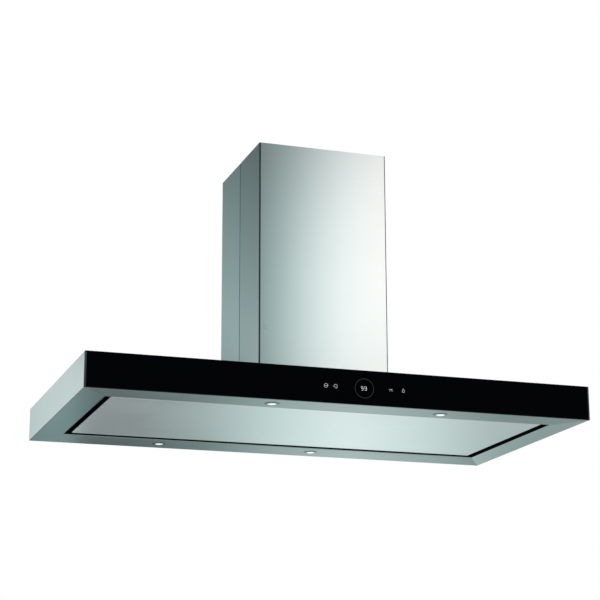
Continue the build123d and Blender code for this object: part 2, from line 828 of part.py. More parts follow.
with BuildPart() as lower_uprights:
    with BuildSketch(Plane.XY.offset(top_sheet_z)):
        angle_section(lower_angle_outer)
    extrude(amount=lower_upright_z - top_sheet_z)
    with BuildSketch(Plane.XY.offset(top_sheet_z)):
        with Locations(*foot_places):
            Rectangle(foot_side - angle_wall, foot_side - angle_wall)
            Circle(foot_hole_radius, mode=Mode.SUBTRACT)
    extrude(amount=foot_thickness)
    for way in (-1, 1):
        with BuildSketch(Plane.YZ.offset(way * lower_angle_outer)):
            with Locations(*[(side * clamp_y, clamp_z) for side in (-1, 1)]):
                Circle(slot_half_height)
        extrude(amount=-way * angle_wall, mode=Mode.SUBTRACT)
write(lower_uprights, "lower_uprights")

clamp_seat = upper_angle_outer + clamp_gap
with BuildPart() as clamp_bolts:
    for way in (-1, 1):
        for start, end, radius in (
            (clamp_seat, clamp_seat + clamp_head, clamp_head_radius),
            (clamp_seat, lower_angle_inner - clamp_nut, clamp_bolt_radius),
            (lower_angle_inner, lower_angle_inner - clamp_nut, clamp_head_radius),
        ):
            with BuildSketch(Plane.YZ.offset(way * start)):
                with Locations(*[(side * clamp_y, clamp_z) for side in (-1, 1)]):
                    Circle(radius)
            extrude(amount=way * (end - start))
write(clamp_bolts, "clamp_bolts")

with BuildPart() as foot_bolts:
    for start, end, radius in (
        (top_sheet_z + foot_thickness, top_sheet_z + foot_thickness + foot_bolt_head, clamp_head_radius),
        (top_sheet_z + foot_thickness, top_sheet_z - sheet - clamp_nut, foot_bolt_radius),
        (top_sheet_z - sheet, top_sheet_z - sheet - clamp_nut, clamp_head_radius),
    ):
        with BuildSketch(Plane.XY.offset(start)):
            with Locations(*foot_places):
                Circle(radius)
        extrude(amount=end - start)
write(foot_bolts, "foot_bolts")

# Blower places: the scroll's arcs grow by one step each quarter turn
scroll_radius = impeller_radius + scroll_gap
scroll_half = impeller_length / 2 + scroll_side_gap
last_radius = scroll_radius + 2 * scroll_step
first_centre = (
    -box_inner_half + scroll_box_gap + scroll_wall + scroll_radius,
    top_sheet_z + scroll_floor_gap + scroll_wall + last_radius - scroll_step,
)
second_centre = (first_centre[0] + scroll_step, first_centre[1])
third_centre = (second_centre[0], second_centre[1] + scroll_step)
fan_y = first_centre[0] + scroll_step / 2
fan_z = first_centre[1] + scroll_step / 2
outlet_rear_y = third_centre[0] + last_radius
outlet_mid_y = (first_centre[0] + outlet_rear_y) / 2
outlet_depth = outlet_rear_y - first_centre[0]
outlet_top_z = first_centre[1] + scroll_radius + outlet_neck
box_top_z = outlet_top_z + box_sheet
inlet_radius = impeller_radius - inlet_overlap
inlet_hole_radius = inlet_radius + inlet_wall + inlet_clearance
scroll_outer_half = scroll_half + scroll_wall

# Motor box, open to the filters below and to the outlet above
with BuildPart() as motor_box:
    with BuildSketch(Plane.XY.offset(top_sheet_z)) as box_outline:
        Rectangle(2 * box_half, 2 * box_half)
        chamfer(box_outline.vertices(), box_chamfer)
    extrude(amount=box_top_z - top_sheet_z)
    with BuildSketch(Plane.XY.offset(top_sheet_z + box_sheet)) as box_cavity:
        Rectangle(2 * box_inner_half, 2 * box_inner_half)
        chamfer(box_cavity.vertices(), box_chamfer)
    extrude(amount=outlet_top_z - top_sheet_z - box_sheet, mode=Mode.SUBTRACT)
    with BuildSketch(Plane.XY.offset(top_sheet_z)) as box_intake:
        Rectangle(2 * intake_half, 2 * intake_half)
        chamfer(box_intake.vertices(), intake_chamfer)
    extrude(amount=box_sheet, mode=Mode.SUBTRACT)
    with BuildSketch(Plane.XY.offset(box_top_z)):
        with Locations((0, outlet_mid_y)):
            Rectangle(2 * scroll_half, outlet_depth)
    extrude(amount=-box_sheet, mode=Mode.SUBTRACT)
write(motor_box, "motor_box")


def scroll_outline(grow):
    """Scroll section with its outlet neck, grown outwards by a wall."""
    neck_y = first_centre[0] - grow
    first_radius = scroll_radius + grow
    start_angle = degrees(acos(-grow / first_radius))
    with BuildLine() as outline:
        first = CenterArc(first_centre, first_radius, start_angle, 180 - start_angle)
        CenterArc(second_centre, first_radius + scroll_step, 180, 90)
        last = CenterArc(third_centre, first_radius + 2 * scroll_step, 270, 90)
        Polyline(last @ 1, (outlet_rear_y + grow, outlet_top_z), (neck_y, outlet_top_z), first @ 0)
    make_face(outline.edges())


# Blower housing, in two halves that meet at the impeller's disc
for side, way in (("left", -1), ("right", 1)):
    with BuildPart() as blower_housing:
        with BuildSketch(Plane.YZ):
            scroll_outline(scroll_wall)
        extrude(amount=way * scroll_outer_half)
        with BuildSketch(Plane.YZ):
            scroll_outline(0)
        extrude(amount=way * scroll_half, mode=Mode.SUBTRACT)
        with BuildSketch(Plane.YZ):
            with Locations((fan_y, fan_z)):
                Circle(inlet_hole_radius)
        extrude(amount=way * scroll_outer_half, mode=Mode.SUBTRACT)
    write(blower_housing, f"blower_housing_{side}")

fan_plane = Plane((0, fan_y, fan_z), x_dir=(0, 1, 0), z_dir=(1, 0, 0))
with BuildPart() as inlet_rings:
    for way in (-1, 1):
        with BuildSketch(fan_plane.offset(way * scroll_outer_half)):
            Circle(inlet_radius + inlet_lip)
            Circle(inlet_radius, mode=Mode.SUBTRACT)
        extrude(amount=way * inlet_wall)
        with BuildSketch(fan_plane.offset(way * scroll_outer_half)):
            Circle(inlet_radius + inlet_wall)
            Circle(inlet_radius, mode=Mode.SUBTRACT)
        extrude(amount=-way * inlet_depth)
write(inlet_rings, "inlet_rings")

# Impeller: disc and hub in the middle, blades right across, a ring at each end
with BuildPart() as impeller:
    with BuildSketch(fan_plane):
        Circle(impeller_radius)
    extrude(amount=impeller_disc / 2, both=True)
    with BuildSketch(fan_plane.offset(impeller_disc / 2)):
        Circle(hub_radius)
    extrude(amount=-hub_length)
    with BuildSketch(fan_plane):
        with PolarLocations(impeller_radius - impeller_ring / 2, blade_count):
            Rectangle(blade_chord, blade_thickness, rotation=blade_angle)
    extrude(amount=impeller_length / 2, both=True)
    for way in (-1, 1):
        with BuildSketch(fan_plane.offset(way * impeller_length / 2)):
            Circle(impeller_radius)
            Circle(impeller_radius - impeller_ring, mode=Mode.SUBTRACT)
        extrude(amount=-way * impeller_ring_length)
    with BuildSketch(fan_plane):
        Circle(shaft_radius)
    extrude(amount=hub_length, both=True, mode=Mode.SUBTRACT)
write(impeller, "impeller")

with BuildPart() as motor_shaft:
    with BuildSketch(fan_plane.offset(-hub_length)):
        Circle(shaft_radius)
    extrude(amount=hub_length + motor_gap + shaft_reach)
write(motor_shaft, "motor_shaft")

# Motor in the right-hand inlet, on a three-armed bracket with rubber mounts
motor_end = motor_gap + motor_length
arm_radius = inlet_radius + arm_offset
with BuildPart() as motor:
    with BuildSketch(fan_plane.offset(motor_gap)):
        Circle(motor_radius)
    extrude(amount=motor_length)
    fillet(motor.edges().filter_by(GeomType.CIRCLE), motor_round)
    with BuildSketch(fan_plane.offset(motor_gap)):
        Circle(shaft_radius + shaft_clearance)
    extrude(amount=shaft_reach + shaft_radius, mode=Mode.SUBTRACT)
write(motor, "motor")

with BuildPart() as motor_bracket:
    with BuildSketch(fan_plane.offset(motor_end)):
        Circle(arm_disc_radius)
        with PolarLocations(arm_radius / 2, arm_count):
            Rectangle(arm_radius + arm_width, arm_width)
    extrude(amount=arm_thickness)
    with BuildSketch(fan_plane.offset(motor_end)):
        with PolarLocations(arm_radius, arm_count):
            Rectangle(arm_width, arm_width)
    extrude(amount=-(motor_end - scroll_outer_half - grommet_thickness))
write(motor_bracket, "motor_bracket")

with BuildPart() as motor_grommets:
    with BuildSketch(fan_plane.offset(scroll_outer_half)):
        with PolarLocations(arm_radius, arm_count):
            Circle(grommet_radius)
    extrude(amount=grommet_thickness)
write(motor_grommets, "motor_grommets")

# Outlet adapter: from the scroll's neck to the round duct collar
collar_z = box_top_z + adapter_flange_thickness + adapter_height
collar_inner = collar_radius - collar_wall
damper_z = collar_z + damper_height
damper_places = [(way * damper_pin_offset, damper_z) for way in (-1, 1)]
ledge_top_z = damper_z - damper_plate / 2 - damper_seat_gap
pin_half_length = collar_radius - collar_wall / 2

with BuildPart() as outlet_adapter:
    with BuildSketch(Plane.XY.offset(box_top_z)):
        with Locations((0, outlet_mid_y)):
            Rectangle(2 * (scroll_half + adapter_flange), outlet_depth + 2 * adapter_flange)
    extrude(amount=adapter_flange_thickness)
    with BuildSketch(Plane.XY.offset(box_top_z + adapter_flange_thickness)):
        with Locations((0, outlet_mid_y)):
            Rectangle(2 * (scroll_half + adapter_wall), outlet_depth + 2 * adapter_wall)
    with BuildSketch(Plane.XY.offset(collar_z)):
        Circle(collar_radius)
    loft()
    with BuildSketch(Plane.XY.offset(collar_z)):
        Circle(collar_radius)
    extrude(amount=collar_height)
    with BuildSketch(Plane.XY.offset(box_top_z)):
        with Locations((0, outlet_mid_y)):
            Rectangle(2 * scroll_half, outlet_depth)
    extrude(amount=adapter_flange_thickness, mode=Mode.SUBTRACT)
    with BuildSketch(Plane.XY.offset(box_top_z + adapter_flange_thickness)):
        with Locations((0, outlet_mid_y)):
            Rectangle(2 * scroll_half, outlet_depth)
    with BuildSketch(Plane.XY.offset(collar_z)):
        Circle(collar_inner - damper_ledge)
    loft(mode=Mode.SUBTRACT)
    with BuildSketch(Plane.XY.offset(collar_z)):
        Circle(collar_inner - damper_ledge)
    extrude(amount=collar_height, mode=Mode.SUBTRACT)
    with BuildSketch(Plane.XY.offset(ledge_top_z)):
        Circle(collar_inner)
    extrude(amount=collar_height, mode=Mode.SUBTRACT)
    with BuildSketch(Plane.XY.offset(damper_z - damper_knuckle_radius)):
        Rectangle(2 * collar_inner + collar_wall, 2 * bridge_half_width)
    extrude(amount=2 * damper_knuckle_radius)
    with BuildSketch(Plane.YZ):
        with Locations(*damper_places):
            Circle(damper_pin_radius)
    extrude(amount=pin_half_length, both=True, mode=Mode.SUBTRACT)
write(outlet_adapter, "outlet_adapter")

with BuildPart() as damper_pins:
    with BuildSketch(Plane.YZ):
        with Locations(*damper_places):
            Circle(damper_pin_radius)
    extrude(amount=pin_half_length, both=True)
write(damper_pins, "damper_pins")

# Damper flaps: half discs that lie on the collar's ledge and lift about their pins
flap_radius = collar_inner - damper_rim_gap
knuckle_half = flap_radius - 2 * damper_knuckle_radius
for side, way in (("front", -1), ("rear", 1)):
    with BuildPart() as damper_flap:
        with BuildSketch(Plane.XY.offset(damper_z - damper_plate / 2)):
            Circle(flap_radius)
            with Locations((0, way * damper_pin_offset)):
                align_y = Align.MAX if way > 0 else Align.MIN
                Rectangle(2 * flap_radius, 2 * flap_radius, align=(Align.CENTER, align_y), mode=Mode.SUBTRACT)
        extrude(amount=damper_plate)
        with BuildSketch(Plane.YZ):
            with Locations((way * damper_pin_offset, damper_z)):
                Circle(damper_knuckle_radius)
        extrude(amount=knuckle_half, both=True)
        with BuildSketch(Plane.YZ):
            with Locations((way * damper_pin_offset, damper_z)):
                Circle(damper_pin_radius + damper_clearance)
        extrude(amount=flap_radius, both=True, mode=Mode.SUBTRACT)
    write(damper_flap, f"damper_flap_{side}")

# Control box beside the duct collar, with the cable gland in its lid
control_box_top_z = box_top_z + control_box_height
with BuildPart() as control_box:
    with BuildSketch(Plane.XY.offset(box_top_z)):
        with Locations((control_box_x, 0)):
            RectangleRounded(control_box_width, control_box_depth, control_box_wall)
    extrude(amount=control_box_height)
    with BuildSketch(Plane.XY.offset(box_top_z + control_box_wall)):
        with Locations((control_box_x, 0)):
            Rectangle(control_box_width - 2 * control_box_wall, control_box_depth - 2 * control_box_wall)
    extrude(amount=control_box_height, mode=Mode.SUBTRACT)
write(control_box, "control_box")

with BuildPart() as control_lid:
    with BuildSketch(Plane.XY.offset(control_box_top_z)):
        with Locations((control_box_x, 0)):
            RectangleRounded(control_box_width, control_box_depth, control_box_wall)
            Circle(gland_bore_radius + control_box_wall, mode=Mode.SUBTRACT)
    extrude(amount=control_box_wall)
write(control_lid, "control_lid")

gland_z = control_box_top_z + control_box_wall
with BuildPart() as cable_gland:
    with BuildSketch(Plane.XY.offset(gland_z)):
        with Locations((control_box_x, 0)):
            RegularPolygon(gland_radius, 6)
    extrude(amount=gland_base)
    with BuildSketch(Plane.XY.offset(gland_z + gland_base)):
        with Locations((control_box_x, 0)):
            Circle(gland_dome_radius)
    extrude(amount=gland_dome)
    fillet(cable_gland.faces().sort_by(Axis.Z)[-1].edges(), gland_round)
    with BuildSketch(Plane.XY.offset(gland_z)):
        with Locations((control_box_x, 0)):
            Circle(gland_bore_radius)
    extrude(amount=gland_base + gland_dome, mode=Mode.SUBTRACT)
write(cable_gland, "cable_gland")
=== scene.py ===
import json
import math

import bmesh
import bpy
from mathutils import Matrix, Vector


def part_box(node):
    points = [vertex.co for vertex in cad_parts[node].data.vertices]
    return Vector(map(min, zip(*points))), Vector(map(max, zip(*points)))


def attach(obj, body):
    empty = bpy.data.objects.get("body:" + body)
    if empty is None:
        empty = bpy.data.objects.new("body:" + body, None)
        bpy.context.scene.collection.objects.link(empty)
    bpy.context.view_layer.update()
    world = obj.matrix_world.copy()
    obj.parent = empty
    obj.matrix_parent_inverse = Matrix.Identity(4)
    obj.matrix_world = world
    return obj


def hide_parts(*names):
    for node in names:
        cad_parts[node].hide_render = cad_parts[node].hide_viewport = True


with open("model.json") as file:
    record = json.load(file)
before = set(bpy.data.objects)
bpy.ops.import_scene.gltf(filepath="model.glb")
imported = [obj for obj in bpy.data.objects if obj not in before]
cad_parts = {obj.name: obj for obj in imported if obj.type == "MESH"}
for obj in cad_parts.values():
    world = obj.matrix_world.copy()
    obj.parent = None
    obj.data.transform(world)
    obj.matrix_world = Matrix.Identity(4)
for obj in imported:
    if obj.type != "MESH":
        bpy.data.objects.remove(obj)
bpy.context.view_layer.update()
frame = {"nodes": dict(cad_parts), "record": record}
scene = bpy.context.scene
scene.view_settings.view_transform = "Standard"

MM = 0.001

# Camera: before the hood, to its left and below the canopy
CAMERA_PLACE = (-1.35912, -4.04634, -1.48752)
CAMERA_RIGHT = (0.94513727, -0.32663277, -0.00515481)
CAMERA_UP = (-0.0803916, -0.24785582, 0.96545569)
CAMERA_BACK = (-0.31662712, -0.91207375, -0.2605163)
CAMERA_SENSOR = 36.0
CAMERA_LENS = 108.557
CAMERA_SHIFT = -0.0333
CAMERA_REACH = 60.0

camera = bpy.data.objects.new("camera", bpy.data.cameras.new("camera"))
scene.collection.objects.link(camera)
camera.data.sensor_width = CAMERA_SENSOR
camera.data.lens = CAMERA_LENS
camera.data.shift_x = CAMERA_SHIFT
camera.data.clip_end = CAMERA_REACH
camera_axes = Matrix((CAMERA_RIGHT, CAMERA_UP, CAMERA_BACK)).transposed().to_4x4()
camera.matrix_world = Matrix.Translation(CAMERA_PLACE) @ camera_axes
scene.camera = camera

# Places taken from the frame
GLASS_LOW, GLASS_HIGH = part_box("front_glass")
GLASS_FACE = GLASS_LOW.y
UNDERSIDE = GLASS_LOW.z
PANEL_LOW, PANEL_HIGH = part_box("perimeter_panel")
PANEL_MIDDLE = (PANEL_LOW + PANEL_HIGH) / 2
PANEL_HALF = (PANEL_HIGH - PANEL_LOW) / 2
CHIMNEY_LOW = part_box("lower_chimney_front")[0]
CHIMNEY_CORNER = -CHIMNEY_LOW.x - CHIMNEY_LOW.y
LAMP_CENTRES = [
    (sum(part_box("lamp_bezel_" + place), Vector()) / 2)[:2] + (UNDERSIDE,)
    for place in ("front_left", "front_right", "rear_left", "rear_right")
]

# Slots round the suction panel, and the back of the rim's lip beyond them
PANEL_SLOT = 13.0 * MM
PANEL_END_SLOT = 16.0 * MM
LIP_BACK = (1.15 * MM, 1.3 * MM)

# Where the ground glass, the lens glow and the painted shade on rims, slot and folds start to
# change, and where the change is complete
RIM_FOLD = (UNDERSIDE + 0.4 * MM, UNDERSIDE + 1.6 * MM)
# The lip faces within these reaches get painted shade
LIP_HALF_X = [PANEL_HALF.x + PANEL_END_SLOT + reach for reach in LIP_BACK]
LIP_HALF_Y = [PANEL_HALF.y + PANEL_SLOT + reach for reach in LIP_BACK]
CHIMNEY_FOLD = (CHIMNEY_CORNER - 3.4 * MM, CHIMNEY_CORNER - 2.8 * MM)
PANEL_FOLD_RISE = (PANEL_LOW.z + 0.05 * MM, PANEL_LOW.z + 0.5 * MM)
PANEL_FOLD_EDGE = (-2.6 * MM, -2.2 * MM)
GLASS_GROUND = (GLASS_HIGH.x - 4.2 * MM, GLASS_HIGH.x - 3.4 * MM)
LENS_GLOW = (3.0 * MM, 11.6 * MM)


def shaded(colour, share):
    return tuple(channel * share for channel in colour)


# Steels, with painted shade on the rims, in the slot and at the folds, and painted light on the
# chimney's rear covers
WALL_STEEL = (0.58, 0.625, 0.615)
TOP_STEEL = (0.56, 0.58, 0.575)
# Underside rims: painted shade, darker copies of the wall steel, the front and rear rims darker
# than the side rims
LONG_RIM_PAINTED_SHADE = (0.292, 0.355, 0.345)
SIDE_RIM_PAINTED_SHADE = (0.425, 0.46, 0.45)
# Inside the suction slot: painted shade, black on the lip faces
SLOT_PAINTED_SHADE = (0.012, 0.02, 0.021)
PANEL_STEEL = (0.73, 0.785, 0.77)
# Painted shade on the panel's folded edge
PANEL_FOLD_PAINTED_SHADE = shaded(PANEL_STEEL, 0.45)
CHIMNEY_STEEL = (0.665, 0.665, 0.655)
# Painted light: the rear covers get a lighter copy of the chimney steel
CHIMNEY_REAR_PAINTED_LIGHT = shaded(CHIMNEY_STEEL, 1.14)
# Painted shade at the chimney's folded corners
CHIMNEY_FOLD_PAINTED_SHADE = (0.045, 0.06, 0.06)

# Directions of the brushed grain
ALONG = (1.0, 0.0, 0.0)
ACROSS = (0.0, 1.0, 0.0)
ROUND = (1.0, 1.0, 0.0)
UPRIGHT = (0.0, 0.0, 1.0)


# Helpers for finishes: each adds a node, or a short chain of nodes
def new_finish(name):
    finish = bpy.data.materials.new(name)
    finish.use_nodes = True
    tree = finish.node_tree
    return finish, tree, tree.nodes["Principled BSDF"]


def surface_place(tree, stretch):
    place = tree.nodes.new("ShaderNodeTexCoord")
    mapping = tree.nodes.new("ShaderNodeMapping")
    mapping.inputs["Scale"].default_value = stretch
    tree.links.new(place.outputs["Object"], mapping.inputs["Vector"])
    return mapping.outputs["Vector"]


def place_axes(tree, kind="Object"):
    place = tree.nodes.new("ShaderNodeTexCoord")
    axes = tree.nodes.new("ShaderNodeSeparateXYZ")
    tree.links.new(place.outputs[kind], axes.inputs["Vector"])
    return axes.outputs


def speckle(tree, stretch, detail=3.0, rough=0.6):
    grain = tree.nodes.new("ShaderNodeTexNoise")
    grain.inputs["Scale"].default_value = 1.0
    grain.inputs["Detail"].default_value = detail
    grain.inputs["Roughness"].default_value = rough
    tree.links.new(surface_place(tree, stretch), grain.inputs["Vector"])
    return grain.outputs["Fac"]


def cells(tree, stretch, output="Color"):
    flakes = tree.nodes.new("ShaderNodeTexVoronoi")
    flakes.inputs["Scale"].default_value = 1.0
    tree.links.new(surface_place(tree, stretch), flakes.inputs["Vector"])
    return flakes.outputs[output]


def spread(tree, value, low, high, start=0.3, end=0.7):
    reach = tree.nodes.new("ShaderNodeMapRange")
    reach.inputs["From Min"].default_value = start
    reach.inputs["From Max"].default_value = end
    reach.inputs["To Min"].default_value = low
    reach.inputs["To Max"].default_value = high
    tree.links.new(value, reach.inputs["Value"])
    return reach.outputs["Result"]


def tones(tree, value, stops):
    ramp = tree.nodes.new("ShaderNodeValToRGB")
    points = ramp.color_ramp.elements
    while len(points) < len(stops):
        points.new(0.5)
    for point, (place, colour) in zip(points, stops):
        point.position = place
        point.color = (*colour, 1.0)
    tree.links.new(value, ramp.inputs["Fac"])
    return ramp.outputs["Color"]


def sums(tree, kind, *values):
    step = tree.nodes.new("ShaderNodeMath")
    step.operation = kind
    for socket, value in zip(step.inputs, values):
        if isinstance(value, float):
            socket.default_value = value
        else:
            tree.links.new(value, socket)
    return step.outputs["Value"]


def vectors(tree, kind, *values):
    step = tree.nodes.new("ShaderNodeVectorMath")
    step.operation = kind
    for socket, value in zip(step.inputs, values):
        if isinstance(value, tuple):
            socket.default_value = value
        else:
            tree.links.new(value, socket)
    return step.outputs["Value" if kind == "DISTANCE" else "Vector"]


def relief(tree, shader, height, strength, depth):
    raised = tree.nodes.new("ShaderNodeBump")
    raised.inputs["Strength"].default_value = strength
    raised.inputs["Distance"].default_value = depth
    tree.links.new(height, raised.inputs["Height"])
    tree.links.new(raised.outputs["Normal"], shader.inputs["Normal"])


# Brushed steel: fine straight streaks along the grain, and a reflection drawn out across it
HAIR_STRETCH = (1.6, 1700.0)
STREAK_STRETCH = (0.35, 240.0)
SMEAR_STRETCH = (6.0, 6.0, 6.0)
HAIR_SHARE = 0.75
BRUSHED_TINT = (0.99, 1.01, 0.36, 0.64)
BRUSHED_ROUGHNESS = (0.28, 0.302)
SMEAR_ROUGHNESS = (-0.01, 0.012)
BRUSHED_PULL = 0.75


def brushed_steel(name, colour, grain):
    finish, tree, shader = new_finish(name)
    shader.inputs["Metallic"].default_value = 1.0
    shader.inputs["Anisotropic"].default_value = BRUSHED_PULL
    fine, broad = (
        tuple(lengthwise if along else crosswise for along in grain)
        for lengthwise, crosswise in (HAIR_STRETCH, STREAK_STRETCH)
    )
    hair = speckle(tree, fine, 1.0, 0.5)
    streak = speckle(tree, broad, 1.0, 0.5)
    smear = speckle(tree, SMEAR_STRETCH, 2.0, 0.5)
    under_hair = sums(tree, "MULTIPLY", streak, 1.0 - HAIR_SHARE)
    mixed = sums(tree, "MULTIPLY_ADD", hair, HAIR_SHARE, under_hair)
    steel = colour(tree) if callable(colour) else colour
    tinted = vectors(tree, "MULTIPLY", spread(tree, mixed, *BRUSHED_TINT), steel)
    tree.links.new(tinted, shader.inputs["Base Color"])
    scratched = spread(tree, hair, *BRUSHED_ROUGHNESS)
    worn = sums(tree, "ADD", scratched, spread(tree, smear, *SMEAR_ROUGHNESS))
    tree.links.new(worn, shader.inputs["Roughness"])
    relief(tree, shader, hair, 0.004, 0.0002)
    facing = tree.nodes.new("ShaderNodeNewGeometry").outputs["Normal"]
    if grain == ROUND:
        level = vectors(tree, "CROSS_PRODUCT", UPRIGHT, facing)
        pulled = vectors(tree, "CROSS_PRODUCT", level, facing)
    else:
        pulled = vectors(tree, "CROSS_PRODUCT", grain, facing)
    tree.links.new(pulled, shader.inputs["Tangent"])
    return finish


# Canopy walls: bright outside, with painted shade making the underside rim darker and the inside
# of the suction slot black
def wall_painted_shade_colours(tree, painted_rim_shade):
    axes = place_axes(tree)
    outside = spread(tree, axes["Z"], 0.0, 1.0, *RIM_FOLD)
    # Painted shade: the lip faces inside the suction slot, found from x, y and height
    slot_x = spread(tree, sums(tree, "ABSOLUTE", axes["X"]), 1.0, 0.0, *LIP_HALF_X)
    from_middle = sums(tree, "SUBTRACT", axes["Y"], PANEL_MIDDLE.y)
    slot_y = spread(tree, sums(tree, "ABSOLUTE", from_middle), 1.0, 0.0, *LIP_HALF_Y)
    inside = sums(tree, "MULTIPLY", sums(tree, "MULTIPLY", slot_x, slot_y), outside)
    shade = sums(tree, "SUBTRACT", sums(tree, "MULTIPLY_ADD", outside, 0.5, 0.5), inside)
    return tones(tree, shade, ((0.0, SLOT_PAINTED_SHADE), (0.5, painted_rim_shade), (1.0, WALL_STEEL)))


# Chimney covers: painted shade where the sheet is folded round a corner, found by adding x and y
def folded_painted_shade_colours(tree, steel):
    axes = place_axes(tree)
    sides = [sums(tree, "ABSOLUTE", axes[axis]) for axis in ("X", "Y")]
    corner = spread(tree, sums(tree, "ADD", *sides), 0.0, 1.0, *CHIMNEY_FOLD)
    return tones(tree, corner, ((0.0, steel), (1.0, CHIMNEY_FOLD_PAINTED_SHADE)))


# Suction panel: painted shade where its edge is folded up, just inside its outline
def panel_painted_shade_colours(tree):
    axes = place_axes(tree)
    rise = spread(tree, axes["Z"], 0.0, 1.0, *PANEL_FOLD_RISE)
    from_middle = sums(tree, "SUBTRACT", axes["Y"], PANEL_MIDDLE.y)
    beyond_x = sums(tree, "SUBTRACT", sums(tree, "ABSOLUTE", axes["X"]), PANEL_HALF.x)
    beyond_y = sums(tree, "SUBTRACT", sums(tree, "ABSOLUTE", from_middle), PANEL_HALF.y)
    edge = spread(tree, sums(tree, "MAXIMUM", beyond_x, beyond_y), 0.0, 1.0, *PANEL_FOLD_EDGE)
    stops = ((0.0, PANEL_STEEL), (1.0, PANEL_FOLD_PAINTED_SHADE))
    return tones(tree, sums(tree, "MULTIPLY", rise, edge), stops)


# Zinc plate: dull flakes a few millimetres across
def zinc_plate(name, colour, flake):
    finish, tree, shader = new_finish(name)
    shader.inputs["Metallic"].default_value = 0.9
    flakes = cells(tree, (flake,) * 3)
    stain = speckle(tree, (26.0, 26.0, 26.0))
    stops = ((0.1, shaded(colour, 0.84)), (0.9, shaded(colour, 1.1)))
    tree.links.new(tones(tree, flakes, stops), shader.inputs["Base Color"])
    dull = spread(tree, flakes, 0.3, 0.46, 0.0, 1.0)
    worn = sums(tree, "ADD", dull, spread(tree, stain, -0.04, 0.08))
    tree.links.new(worn, shader.inputs["Roughness"])
    relief(tree, shader, flakes, 0.05, 0.0002)
    return finish


# Extruded or pressed bright metal with a faint drawn grain
def bright_metal(name, colour, roughness, stretch, strength=0.08):
    finish, tree, shader = new_finish(name)
    shader.inputs["Metallic"].default_value = 1.0
    lines = speckle(tree, stretch, 4.0)
    stops = ((0.3, shaded(colour, 0.88)), (0.7, shaded(colour, 1.05)))
    tree.links.new(tones(tree, lines, stops), shader.inputs["Base Color"])
    tree.links.new(spread(tree, lines, *roughness), shader.inputs["Roughness"])
    relief(tree, shader, lines, strength, 0.0003)
    return finish


# Paint, plastic and rubber: a fine even grain over a soft change of tone
def moulded(name, colour, roughness, grain, strength, gloss=0.5):
    finish, tree, shader = new_finish(name)
    shader.inputs["Specular IOR Level"].default_value = gloss
    skin = speckle(tree, (grain,) * 3, 2.0)
    cloud = speckle(tree, (14.0, 14.0, 14.0))
    stops = ((0.3, shaded(colour, 0.86)), (0.7, shaded(colour, 1.1)))
    tree.links.new(tones(tree, cloud, stops), shader.inputs["Base Color"])
    tree.links.new(spread(tree, cloud, *roughness), shader.inputs["Roughness"])
    relief(tree, shader, skin, strength, 0.0004)
    return finish


# Black backed glass, clear grey where its ends are ground, with painted shade making the ground
# ends darker towards the bottom
BACKED_BLACK = (0.0012, 0.0013, 0.0018)
GROUND_GREY = (0.035, 0.042, 0.045)


def black_glass(name):
    finish, tree, shader = new_finish(name)
    shader.inputs["Specular IOR Level"].default_value = 0.3
    axes = place_axes(tree)
    ground = spread(tree, sums(tree, "ABSOLUTE", axes["X"]), 0.0, 1.0, *GLASS_GROUND)
    haze = speckle(tree, (9.0, 9.0, 9.0))
    # Painted shade: the ground ends darker towards the bottom
    painted_top_light = spread(tree, axes["Z"], 0.35, 1.0, GLASS_LOW.z, GLASS_HIGH.z)
    stops = ((0.0, BACKED_BLACK), (1.0, GROUND_GREY))
    tint = tones(tree, sums(tree, "MULTIPLY", ground, painted_top_light), stops)
    tree.links.new(tint, shader.inputs["Base Color"])
    worn = sums(tree, "ADD", spread(tree, haze, 0.02, 0.05), sums(tree, "MULTIPLY", ground, 0.25))
    tree.links.new(worn, shader.inputs["Roughness"])
    return finish


# Frosted lens, lit from behind and brightest over its middle
LENS_EDGE_SHARE = 0.2


def lit_lens(name, colour, strength, centres):
    finish, tree, shader = new_finish(name)
    place = tree.nodes.new("ShaderNodeTexCoord").outputs["Object"]
    reach = None
    for centre in centres:
        gap = vectors(tree, "DISTANCE", place, centre)
        reach = sums(tree, "MINIMUM", reach, gap) if reach else gap
    glow = spread(tree, reach, strength, LENS_EDGE_SHARE * strength, *LENS_GLOW)
    tree.links.new(glow, shader.inputs["Emission Strength"])
    shader.inputs["Roughness"].default_value = 0.35
    dimples = cells(tree, (620.0, 620.0, 620.0), "Distance")
    tint = tones(tree, dimples, ((0.0, colour), (0.8, shaded(colour, 0.86))))
    tree.links.new(tint, shader.inputs["Base Color"])
    tree.links.new(tint, shader.inputs["Emission Color"])
    relief(tree, shader, dimples, 0.3, 0.0004)
    return finish


# Printed or lit marks on the glass
def lit_mark(name, colour, strength):
    finish, tree, shader = new_finish(name)
    shader.inputs["Roughness"].default_value = 0.4
    shader.inputs["Specular IOR Level"].default_value = 0.2
    glow = speckle(tree, (900.0, 900.0, 900.0), 2.0)
    tint = tones(tree, glow, ((0.3, shaded(colour, 0.9)), (0.7, colour)))
    tree.links.new(tint, shader.inputs["Base Color"])
    tree.links.new(tint, shader.inputs["Emission Color"])
    shader.inputs["Emission Strength"].default_value = strength
    return finish


